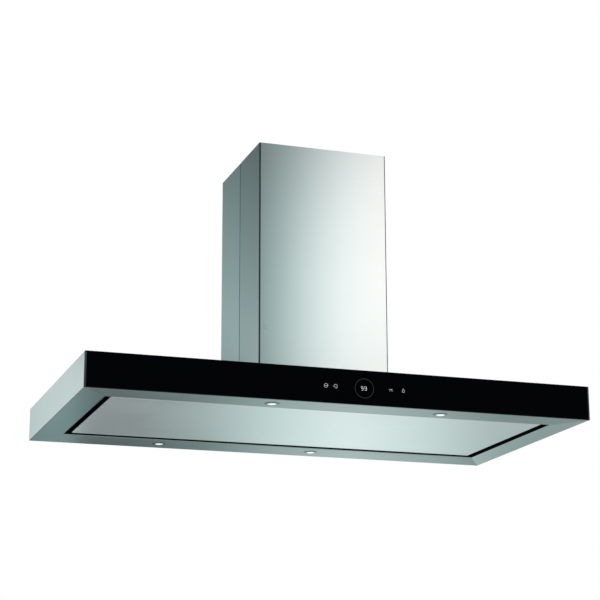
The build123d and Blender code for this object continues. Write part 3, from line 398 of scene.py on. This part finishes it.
# Circuit board: solder mask with raised tracks
def circuit_board(name):
    finish, tree, shader = new_finish(name)
    tracks = tree.nodes.new("ShaderNodeTexBrick")
    tracks.inputs["Scale"].default_value = 1.0
    tracks.inputs["Mortar Size"].default_value = 0.06
    tracks.inputs["Color1"].default_value = (0.02, 0.13, 0.05, 1.0)
    tracks.inputs["Color2"].default_value = (0.03, 0.17, 0.07, 1.0)
    tracks.inputs["Mortar"].default_value = (0.06, 0.26, 0.12, 1.0)
    turned = surface_place(tree, (220.0, 220.0, 220.0))
    turned.node.inputs["Rotation"].default_value = (math.radians(90.0), 0.0, 0.0)
    tree.links.new(turned, tracks.inputs["Vector"])
    tree.links.new(tracks.outputs["Color"], shader.inputs["Base Color"])
    worn = spread(tree, tracks.outputs["Fac"], 0.3, 0.42, 0.0, 1.0)
    tree.links.new(worn, shader.inputs["Roughness"])
    relief(tree, shader, tracks.outputs["Fac"], 0.3, 0.0002)
    return finish


# Finish of each material slot, and of the steel nodes whose grain or colour differs
# Rims: the walls' steel with painted shade on the underside rim and in the slot
rim_along = brushed_steel(
    "rim_steel_along", lambda tree: wall_painted_shade_colours(tree, LONG_RIM_PAINTED_SHADE), ALONG
)
rim_across = brushed_steel(
    "rim_steel_across", lambda tree: wall_painted_shade_colours(tree, SIDE_RIM_PAINTED_SHADE), ACROSS
)
top_steel = brushed_steel("top_steel", TOP_STEEL, ALONG)
panel_steel = brushed_steel("panel_steel", panel_painted_shade_colours, ALONG)
chimney_front_steel = brushed_steel(
    "chimney_front_steel", lambda tree: folded_painted_shade_colours(tree, CHIMNEY_STEEL), ROUND
)
# Rear covers: painted light, a lighter copy of the front covers' steel
chimney_rear_painted_light_steel = brushed_steel(
    "chimney_rear_painted_light_steel", lambda tree: folded_painted_shade_colours(tree, CHIMNEY_REAR_PAINTED_LIGHT), ROUND
)
slot_finish = {
    "brushed_steel": rim_along,
    "zinc_steel": zinc_plate("zinc_steel", (0.55, 0.56, 0.55), flake=260.0),
    "latch_steel": bright_metal(
        "latch_steel", (0.64, 0.65, 0.64), roughness=(0.28, 0.4), stretch=(90.0, 900.0, 900.0)
    ),
    "black_glass": black_glass("black_glass"),
    "black_paint": moulded(
        "black_paint",
        (0.012, 0.012, 0.013),
        roughness=(0.42, 0.55),
        grain=900.0,
        strength=0.12,
        gloss=0.3,
    ),
    "motor_paint": moulded(
        "motor_paint", (0.1, 0.1, 0.11), roughness=(0.35, 0.5), grain=700.0, strength=0.1
    ),
    "aluminium": bright_metal(
        "aluminium", (0.72, 0.73, 0.73), roughness=(0.3, 0.45), stretch=(60.0, 700.0, 700.0)
    ),
    "filter_mesh": bright_metal(
        "filter_mesh", (0.58, 0.59, 0.59), roughness=(0.32, 0.5), stretch=(240.0, 240.0, 240.0)
    ),
    "lamp_chrome": bright_metal(
        "lamp_chrome",
        (0.13, 0.175, 0.17),
        roughness=(0.16, 0.24),
        stretch=(300.0, 300.0, 300.0),
        strength=0.02,
    ),
    "lamp_lens": lit_lens("lamp_lens", (0.93, 1.0, 0.99), strength=0.58, centres=LAMP_CENTRES),
    "black_plastic": moulded(
        "black_plastic", (0.022, 0.022, 0.024), roughness=(0.42, 0.58), grain=1600.0, strength=0.2
    ),
    "white_plastic": moulded(
        "white_plastic", (0.74, 0.74, 0.71), roughness=(0.4, 0.52), grain=1600.0, strength=0.12
    ),
    "board_green": circuit_board("board_green"),
    "rubber": moulded(
        "rubber", (0.02, 0.02, 0.02), roughness=(0.65, 0.8), grain=1100.0, strength=0.2, gloss=0.3
    ),
}
node_finish = {
    "canopy_left_wall": rim_across,
    "canopy_right_wall": rim_across,
    "canopy_top": top_steel,
    "perimeter_panel": panel_steel,
    "lower_chimney_front": chimney_front_steel,
    "lower_chimney_rear": chimney_rear_painted_light_steel,
    "upper_chimney_front": chimney_front_steel,
    "upper_chimney_rear": chimney_rear_painted_light_steel,
}
for subpart in frame["record"]["subparts"]:
    finish = node_finish.get(subpart["node"], slot_finish[subpart["material_slot"]])
    slots = frame["nodes"][subpart["node"]].data.materials
    slots.clear()
    slots.append(finish)


# New pieces
def new_piece(name, shape, finish, body):
    mesh = bpy.data.meshes.new(name)
    shape.to_mesh(mesh)
    shape.free()
    piece = bpy.data.objects.new(name, mesh)
    scene.collection.objects.link(piece)
    mesh.materials.append(finish)
    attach(piece, body)
    return piece


# Marks on the glass, drawn flat in millimetres
MARK_SUNK = 0.05 * MM
MARK_THICKNESS = 0.2 * MM
FACING_VIEWER = Matrix.Rotation(math.radians(90.0), 4, "X")


# A flat mark thickened and stood on the glass face, at a height over the underside
def stand_on_glass(shape, centre_x, height):
    faces = list(shape.faces)
    for face in faces:
        if face.normal.z < 0:
            face.normal_flip()
    bmesh.ops.solidify(shape, geom=faces, thickness=MARK_THICKNESS)
    bmesh.ops.recalc_face_normals(shape, faces=shape.faces)
    lowest = min(vert.co.z for vert in shape.verts)
    bmesh.ops.translate(shape, verts=shape.verts, vec=(0.0, 0.0, -lowest - MARK_SUNK))
    bmesh.ops.transform(shape, verts=shape.verts, matrix=FACING_VIEWER)
    place = (centre_x * MM, GLASS_FACE, UNDERSIDE + height * MM)
    bmesh.ops.translate(shape, verts=shape.verts, vec=place)


# A ring, or part of one, spun from one short radial edge
def spin_band(shape, radii, steps, start=0.0, turn=360.0):
    begin = math.radians(start)
    ends = [
        shape.verts.new(Vector((radius * math.cos(begin), radius * math.sin(begin), 0)) * MM)
        for radius in radii
    ]
    edge = shape.edges.new(ends)
    bmesh.ops.spin(
        shape,
        geom=ends + [edge],
        cent=(0, 0, 0),
        axis=(0, 0, 1),
        angle=math.radians(turn),
        steps=steps,
        use_merge=turn >= 360.0,
        use_normal_flip=False,
        use_duplicate=False,
    )
    bmesh.ops.remove_doubles(shape, verts=shape.verts, dist=0.001 * MM)


# A short bar with clipped corners
BAR_CLIP = 0.42


def lay_bar(shape, centre, length, stroke, turn=0.0):
    place = Matrix.Translation(Vector((centre[0], centre[1], 0)) * MM)
    swing = Matrix.Rotation(math.radians(turn), 4, "Z")
    size = Matrix.Diagonal((length * MM, stroke * MM, 1.0, 1.0))
    made = bmesh.ops.create_grid(
        shape, x_segments=1, y_segments=1, size=0.5, matrix=place @ swing @ size
    )
    bmesh.ops.bevel(
        shape,
        geom=made["verts"],
        offset=stroke * BAR_CLIP * MM,
        offset_type="OFFSET",
        affect="VERTICES",
        segments=1,
        profile=0.5,
        material=-1,
    )


DIGIT_WIDTH = 4.3
DIGIT_HEIGHT = 8.2
DIGIT_STROKE = 0.37
DIGIT_PITCH = 8.3
CIRCLE_RADII = (21.5, 22.6)
MARK_STROKE = 0.6
MARK_RADIUS = 4.3
MARK_RADII = (MARK_RADIUS - MARK_STROKE / 2, MARK_RADIUS + MARK_STROKE / 2)
FAN_BAR_STROKE = MARK_STROKE * 1.2
RAY_STROKE = 0.38
DROP_RADIUS = 3.3
DROP_STROKE = MARK_STROKE * 1.1
DROP_PINCH = 0.6
DROP_STRETCH = 0.75


# Two lit figures of nine, each from six bars
def lit_figures():
    shape = bmesh.new()
    half_width = DIGIT_WIDTH / 2
    half_height = DIGIT_HEIGHT / 2
    for side in (-0.5, 0.5):
        middle = side * DIGIT_PITCH
        for level in (-half_height, 0.0, half_height):
            lay_bar(shape, (middle, level), DIGIT_WIDTH, DIGIT_STROKE)
        for edge, level in ((-1, 1), (1, 1), (1, -1)):
            centre = (middle + edge * half_width, level * half_height / 2)
            lay_bar(shape, centre, half_height, DIGIT_STROKE, turn=90.0)
    return shape


def display_circle():
    shape = bmesh.new()
    spin_band(shape, CIRCLE_RADII, steps=96)
    return shape


# A ring with a bar across
def fan_mark():
    shape = bmesh.new()
    spin_band(shape, MARK_RADII, steps=40)
    lay_bar(shape, (0, 0), 2 * MARK_RADIUS, FAN_BAR_STROKE)
    return shape


# An open ring with a hand, and a tick at its opening
def timer_mark():
    shape = bmesh.new()
    spin_band(shape, MARK_RADII, steps=36, start=-92.0, turn=304.0)
    lay_bar(shape, (-1.9, -1.2), 4.6, MARK_STROKE, turn=32.0)
    lay_bar(shape, (0.9, -3.2), 3.0, MARK_STROKE, turn=62.0)
    return shape


# A lamp on its bar, with three rays below
def lamp_mark():
    shape = bmesh.new()
    lay_bar(shape, (0, 1.2), 9.6, RAY_STROKE)
    lay_bar(shape, (1.2, 0.7), 4.0, 1.4)
    for reach in (-2.6, 1.0, 4.2):
        lay_bar(shape, (reach, -2.0), 2.6, RAY_STROKE, turn=90.0 + reach * 4.0)
    return shape


# The outline of a drop: a disc drawn up to a point, with its middle taken out
def drop_mark():
    shape = bmesh.new()
    bmesh.ops.create_circle(shape, cap_ends=True, segments=40, radius=DROP_RADIUS * MM)
    for vert in shape.verts:
        lift = max(0.0, vert.co.y / (DROP_RADIUS * MM))
        vert.co.x *= 1.0 - DROP_PINCH * lift * lift
        vert.co.y *= 1.0 + DROP_STRETCH * lift
    made = bmesh.ops.inset_region(
        shape,
        faces=shape.faces[:],
        thickness=DROP_STROKE * MM,
        use_boundary=True,
        use_even_offset=True,
    )
    middle = [face for face in shape.faces if face not in made["faces"]]
    bmesh.ops.delete(shape, geom=middle, context="FACES")
    return shape


mark_white = lit_mark("mark_white", (0.86, 0.9, 0.92), strength=0.8)
mark_grey = lit_mark("mark_grey", (0.42, 0.43, 0.44), strength=0.6)
mark_dim = lit_mark("mark_dim", (0.016, 0.0185, 0.019), strength=0.35)
for mark_name, make, finish, place in (
    ("display_figures", lit_figures, mark_white, (36.0, 38.2)),
    ("display_circle", display_circle, mark_dim, (37.1, 38.5)),
    ("fan_mark", fan_mark, mark_grey, (-54.1, 39.4)),
    ("timer_mark", timer_mark, mark_grey, (-31.5, 38.8)),
    ("lamp_mark", lamp_mark, mark_grey, (100.2, 39.2)),
    ("drop_mark", drop_mark, mark_grey, (131.2, 38.2)),
):
    mark = make()
    stand_on_glass(mark, *place)
    new_piece(mark_name, mark, finish, "hood")


# Expanded mesh of a grease filter: diamonds cut to the frame, opened and thickened
MESH_CELL = (17.0, 10.0)
MESH_STRAND = 1.1
MESH_THICKNESS = 0.8
MESH_LAYERS = ((0.2, False), (0.75, True))
GRID_REACH = 0.36
GRID_COUNT = 60
GRID_PITCH = 2.0 * GRID_REACH / GRID_COUNT * math.sqrt(2.0)


def expanded_layer(shape, low, high, level, turned):
    cell = MESH_CELL[::-1] if turned else MESH_CELL
    layer = bmesh.new()
    made = bmesh.ops.create_grid(
        layer, x_segments=GRID_COUNT, y_segments=GRID_COUNT, size=GRID_REACH
    )
    diagonal = Matrix.Rotation(math.radians(45.0), 3, "Z")
    bmesh.ops.rotate(layer, verts=made["verts"], matrix=diagonal)
    size = Vector((cell[0] * MM / GRID_PITCH, cell[1] * MM / GRID_PITCH, 1.0))
    bmesh.ops.scale(layer, vec=size, verts=layer.verts)
    centre = (low + high) / 2
    bmesh.ops.translate(layer, verts=layer.verts, vec=(centre.x, centre.y, level))
    for point, outward in (
        ((low.x, 0, 0), (-1, 0, 0)),
        ((high.x, 0, 0), (1, 0, 0)),
        ((0, low.y, 0), (0, -1, 0)),
        ((0, high.y, 0), (0, 1, 0)),
    ):
        geometry = layer.verts[:] + layer.edges[:] + layer.faces[:]
        bmesh.ops.bisect_plane(
            layer, geom=geometry, plane_co=point, plane_no=outward, clear_outer=True
        )
    opened = layer.faces[:]
    strand = MESH_STRAND * MM / 2
    bmesh.ops.inset_individual(layer, faces=opened, thickness=strand, use_even_offset=True)
    bmesh.ops.delete(layer, geom=opened, context="FACES_ONLY")
    bmesh.ops.solidify(layer, geom=layer.faces[:], thickness=MESH_THICKNESS * MM)
    bmesh.ops.recalc_face_normals(layer, faces=layer.faces)
    carried = bpy.data.meshes.new("layer")
    layer.to_mesh(carried)
    layer.free()
    shape.from_mesh(carried)
    bpy.data.meshes.remove(carried)


for side in ("left", "right"):
    node_name = "filter_mesh_" + side
    low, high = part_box(node_name)
    shape = bmesh.new()
    for share, turned in MESH_LAYERS:
        expanded_layer(shape, low, high, low.z + share * (high.z - low.z), turned)
    piece = new_piece(
        "expanded_mesh_" + side, shape, slot_finish["filter_mesh"], "hood"
    )
    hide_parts(node_name)


# Stage: floor, flags, cards and a soft box
def card(name, centre, size, turn=0.0, lean=0.0):
    shape = bmesh.new()
    bmesh.ops.create_grid(shape, x_segments=1, y_segments=1, size=0.5)
    bmesh.ops.scale(shape, vec=(size[0], size[1], 1.0), verts=shape.verts)
    mesh = bpy.data.meshes.new(name)
    shape.to_mesh(mesh)
    shape.free()
    made = bpy.data.objects.new(name, mesh)
    scene.collection.objects.link(made)
    upright = Matrix.Rotation(math.radians(90.0 + lean), 4, "X")
    swing = Matrix.Rotation(math.radians(turn), 4, "Z")
    made.matrix_world = Matrix.Translation(centre) @ swing @ upright
    return made


# Strength of a card's light, by which its colours are divided
CARD_LIGHT = 2.5
CLEAR = (0.0, 0.0, 0.0)
SOLID = (1.0, 1.0, 1.0)


# A card seen only in reflections: its colour changes along it, its strength up it, its edge fades
def reflected_card(name, wide, high, depth, colours, strengths, edge, turn=0.0):
    width = wide[1] - wide[0]
    height = high[1] - high[0]
    centre = Vector(((wide[0] + wide[1]) / 2, depth, (high[0] + high[1]) / 2))
    if turn:
        centre.x, centre.y = centre.y, centre.x
    made = card(name, centre, (width, height), turn)
    made.visible_camera = False
    made.visible_diffuse = False
    made.visible_transmission = False
    made.visible_shadow = False
    finish = bpy.data.materials.new(name)
    finish.use_nodes = True
    tree = finish.node_tree
    tree.nodes.clear()
    axes = place_axes(tree, "Generated")
    along = [
        ((spot - wide[0]) / width, shaded(colour, 1.0 / CARD_LIGHT)) for spot, colour in colours
    ]
    up = [((spot - high[0]) / height, (value,) * 3) for spot, value in strengths]
    fades = []
    for axis, reach in (("X", edge / width), ("Y", edge / height)):
        border = ((0.0, CLEAR), (reach, SOLID), (1.0 - reach, SOLID), (1.0, CLEAR))
        fades.append(tones(tree, axes[axis], border))
    strength = sums(tree, "MULTIPLY", tones(tree, axes["Y"], up), CARD_LIGHT)
    clear = tree.nodes.new("ShaderNodeBsdfTransparent")
    light = tree.nodes.new("ShaderNodeEmission")
    mix = tree.nodes.new("ShaderNodeMixShader")
    out = tree.nodes.new("ShaderNodeOutputMaterial")
    tree.links.new(tones(tree, axes["X"], along), light.inputs["Color"])
    tree.links.new(strength, light.inputs["Strength"])
    tree.links.new(sums(tree, "MULTIPLY", *fades), mix.inputs["Fac"])
    tree.links.new(clear.outputs["BSDF"], mix.inputs[1])
    tree.links.new(light.outputs["Emission"], mix.inputs[2])
    tree.links.new(mix.outputs["Shader"], out.inputs["Surface"])
    finish.cycles.emission_sampling = "NONE"
    made.data.materials.append(finish)


DEEP_SHADE = (0.0055, 0.007, 0.008)
OPEN_ROOM = (0.7, 0.72, 0.72)

# Before the glass: the soft box that the chimney shows, and two flags over it
reflected_card(
    "front_soft_box",
    wide=(-1.8, 2.4),
    high=(-1.0, 1.6),
    depth=-1.6,
    colours=(
        (-0.5, OPEN_ROOM),
        (-0.1, DEEP_SHADE),
        (0.18, DEEP_SHADE),
        (0.28, (0.18, 0.44, 0.445)),
        (0.39, (0.75, 1.13, 1.14)),
        (0.53, (1.92, 2.16, 2.14)),
        (0.72, (2.02, 2.02, 2.01)),
        (1.15, (1.9, 1.9, 1.88)),
        (1.7, (1.0, 1.0, 1.0)),
    ),
    strengths=((-0.9, 1.0), (-0.2, 1.0), (0.1, 0.95), (0.35, 0.84), (0.6, 0.62), (1.0, 0.45)),
    edge=0.1,
)
reflected_card(
    "upper_flag",
    wide=(-0.5, 0.7),
    high=(0.34, 2.7),
    depth=-1.58,
    colours=((-0.4, (0.02, 0.03, 0.031)), (0.5, (0.04, 0.06, 0.062))),
    strengths=((0.5, 1.0), (2.5, 1.0)),
    edge=0.28,
)
reflected_card(
    "glass_flag",
    wide=(-0.6, 1.6),
    high=(-0.43, -0.25),
    depth=-1.5,
    colours=((-0.5, DEEP_SHADE), (1.5, DEEP_SHADE)),
    strengths=((-0.4, 1.0), (-0.26, 1.0)),
    edge=0.012,
)

# Behind, to the left: what the left sides of the chimney and the canopy show
reflected_card(
    "side_flag",
    wide=(-2.6, 0.1),
    high=(-0.15, 2.0),
    depth=1.5,
    colours=(
        (-1.8, shaded(OPEN_ROOM, 2.2)),
        (-1.4, DEEP_SHADE),
        (-1.15, DEEP_SHADE),
        (-0.85, (0.47, 0.68, 0.69)),
        (-0.45, (0.51, 0.74, 0.75)),
    ),
    strengths=((-0.1, 0.72), (0.3, 0.46), (0.7, 0.22), (1.5, 0.08)),
    edge=0.07,
)
reflected_card(
    "low_side_flag",
    wide=(-0.76, -0.3),
    high=(-0.9, -0.02),
    depth=1.52,
    colours=((-0.7, (0.37, 0.58, 0.59)), (-0.35, (0.385, 0.6, 0.61))),
    strengths=((-0.8, 0.4), (-0.2, 0.46)),
    edge=0.035,
)
reflected_card(
    "low_rim_card",
    wide=(-1.05, -0.22),
    high=(-1.6, -0.72),
    depth=1.48,
    colours=(
        (-0.95, (0.1, 0.16, 0.16)),
        (-0.6, (0.18, 0.27, 0.27)),
        (-0.38, (0.41, 0.61, 0.61)),
        (-0.28, (0.5, 0.74, 0.74)),
    ),
    strengths=((-1.5, 0.9), (-1.05, 1.0), (-0.9, 0.58), (-0.78, 0.45)),
    edge=0.05,
)
reflected_card(
    "low_corner_flag",
    wide=(-2.6, -1.3),
    high=(-1.3, -0.1),
    depth=1.54,
    colours=((-1.8, OPEN_ROOM), (-1.6, DEEP_SHADE), (-1.4, DEEP_SHADE)),
    strengths=((-1.2, 1.0), (-0.2, 1.0)),
    edge=0.06,
)
reflected_card(
    "canopy_side_card",
    wide=(-1.4, -0.65),
    high=(-1.05, 0.05),
    depth=1.58,
    colours=((-1.15, (1.04, 1.13, 1.13)), (-0.97, (0.86, 0.98, 0.98)), (-0.8, (0.68, 0.8, 0.8))),
    strengths=((-0.9, 1.0), (-0.1, 1.0)),
    edge=0.045,
)

# To both sides
reflected_card(
    "left_flag",
    wide=(-3.6, 2.4),
    high=(-1.2, 2.8),
    depth=-2.5,
    colours=((-3.2, (0.45, 0.47, 0.47)), (-0.5, OPEN_ROOM), (2.0, (0.4, 0.42, 0.42))),
    strengths=((-0.9, 1.0), (2.6, 1.0)),
    edge=0.15,
    turn=90.0,
)
reflected_card(
    "right_flag",
    wide=(-2.6, 2.6),
    high=(-0.6, 2.6),
    depth=2.6,
    colours=((-2.3, (0.9,) * 3), (-0.5, (0.6,) * 3), (2.2, (0.4,) * 3)),
    strengths=((-0.5, 1.0), (2.4, 1.0)),
    edge=0.15,
    turn=90.0,
)

# Far behind and low, for the underside, and close behind the chimney, for its back
reflected_card(
    "low_rear_flag",
    wide=(-3.5, 5.0),
    high=(-2.25, 0.2),
    depth=3.0,
    colours=(
        (-1.4, OPEN_ROOM),
        (-0.6, (0.05, 0.09, 0.09)),
        (-0.2, (0.02, 0.04, 0.042)),
        (0.3, (0.06, 0.1, 0.104)),
        (0.6, (0.225, 0.36, 0.365)),
        (0.9, (0.69, 0.91, 0.9)),
        (1.22, (1.1, 1.27, 1.25)),
        (1.55, (0.82, 1.01, 0.99)),
        (1.95, (0.31, 0.45, 0.45)),
        (3.2, OPEN_ROOM),
    ),
    strengths=((-2.1, 1.0), (0.1, 1.0)),
    edge=0.1,
)
reflected_card(
    "rear_card",
    wide=(-0.24, 1.0),
    high=(-0.6, 0.7),
    depth=1.2,
    colours=((-0.1, OPEN_ROOM), (0.9, OPEN_ROOM)),
    strengths=((-0.5, 1.0), (0.6, 0.9)),
    edge=0.08,
)

# Floor: pale, and see-through from below
FLOOR_LEVEL = -2.26
FLOOR_SIZE = 60.0
FLOOR_LIFT = 0.15
FLOOR_TONES = ((0.3, (0.8, 0.8, 0.8)), (0.7, (0.83, 0.83, 0.83)))

floor = card("floor", (0.0, 0.0, FLOOR_LEVEL), (FLOOR_SIZE, FLOOR_SIZE), lean=-90.0)
floor_finish, tree, shader = new_finish("floor")
shader.inputs["Roughness"].default_value = 0.6
shader.inputs["Specular IOR Level"].default_value = 0.1
pale = speckle(tree, (0.8, 0.8, 0.8))
tree.links.new(tones(tree, pale, FLOOR_TONES), shader.inputs["Base Color"])
seen_by_camera = tree.nodes.new("ShaderNodeLightPath").outputs["Is Camera Ray"]
lift = sums(tree, "MULTIPLY", seen_by_camera, FLOOR_LIFT)
tree.links.new(lift, shader.inputs["Emission Strength"])
shader.inputs["Emission Color"].default_value = (1.0, 1.0, 1.0, 1.0)
seen_from_below = tree.nodes.new("ShaderNodeNewGeometry").outputs["Backfacing"]
see_through = tree.nodes.new("ShaderNodeBsdfTransparent")
either = tree.nodes.new("ShaderNodeMixShader")
tree.links.new(seen_from_below, either.inputs["Fac"])
tree.links.new(shader.outputs["BSDF"], either.inputs[1])
tree.links.new(see_through.outputs["BSDF"], either.inputs[2])
tree.links.new(either.outputs["Shader"], tree.nodes["Material Output"].inputs["Surface"])
floor.data.materials.append(floor_finish)

# World: white where the camera, metal or glass sees it, a softer light elsewhere
SOFT_SKY = (0.97, 0.985, 1.0, 1.0)
SOFT_STRENGTH = 0.55

world = bpy.data.worlds.new("studio")
scene.world = world
world.use_nodes = True
tree = world.node_tree
tree.nodes.clear()
path = tree.nodes.new("ShaderNodeLightPath").outputs
seen = sums(tree, "MAXIMUM", path["Is Camera Ray"], path["Is Glossy Ray"])
seen = sums(tree, "MAXIMUM", seen, path["Is Transmission Ray"])
soft = tree.nodes.new("ShaderNodeBackground")
soft.inputs["Color"].default_value = SOFT_SKY
soft.inputs["Strength"].default_value = SOFT_STRENGTH
white = tree.nodes.new("ShaderNodeBackground")
white.inputs["Color"].default_value = (1.0, 1.0, 1.0, 1.0)
white.inputs["Strength"].default_value = 1.0
mix = tree.nodes.new("ShaderNodeMixShader")
out = tree.nodes.new("ShaderNodeOutputWorld")
tree.links.new(seen, mix.inputs["Fac"])
tree.links.new(soft.outputs["Background"], mix.inputs[1])
tree.links.new(white.outputs["Background"], mix.inputs[2])
tree.links.new(mix.outputs["Shader"], out.inputs["Surface"])

# Soft lamps, all aimed at the middle of the hood
HOOD_MIDDLE = Vector((0.0, 0.0, -0.4))


def soft_lamp(name, place, size, power):
    lamp = bpy.data.objects.new(name, bpy.data.lights.new(name, "AREA"))
    scene.collection.objects.link(lamp)
    lamp.data.shape = "RECTANGLE"
    lamp.data.size, lamp.data.size_y = size
    lamp.data.energy = power
    lamp.location = place
    lamp.rotation_mode = "QUATERNION"
    lamp.rotation_quaternion = (HOOD_MIDDLE - Vector(place)).to_track_quat("-Z", "Y")
    lamp.visible_glossy = False


soft_lamp("key_lamp", place=(2.4, -3.4, 2.2), size=(1.8, 1.8), power=110.0)
soft_lamp("fill_lamp", place=(-3.2, -2.0, 0.6), size=(2.0, 2.0), power=45.0)
soft_lamp("rear_lamp", place=(0.5, 3.6, 1.6), size=(2.0, 1.6), power=60.0)
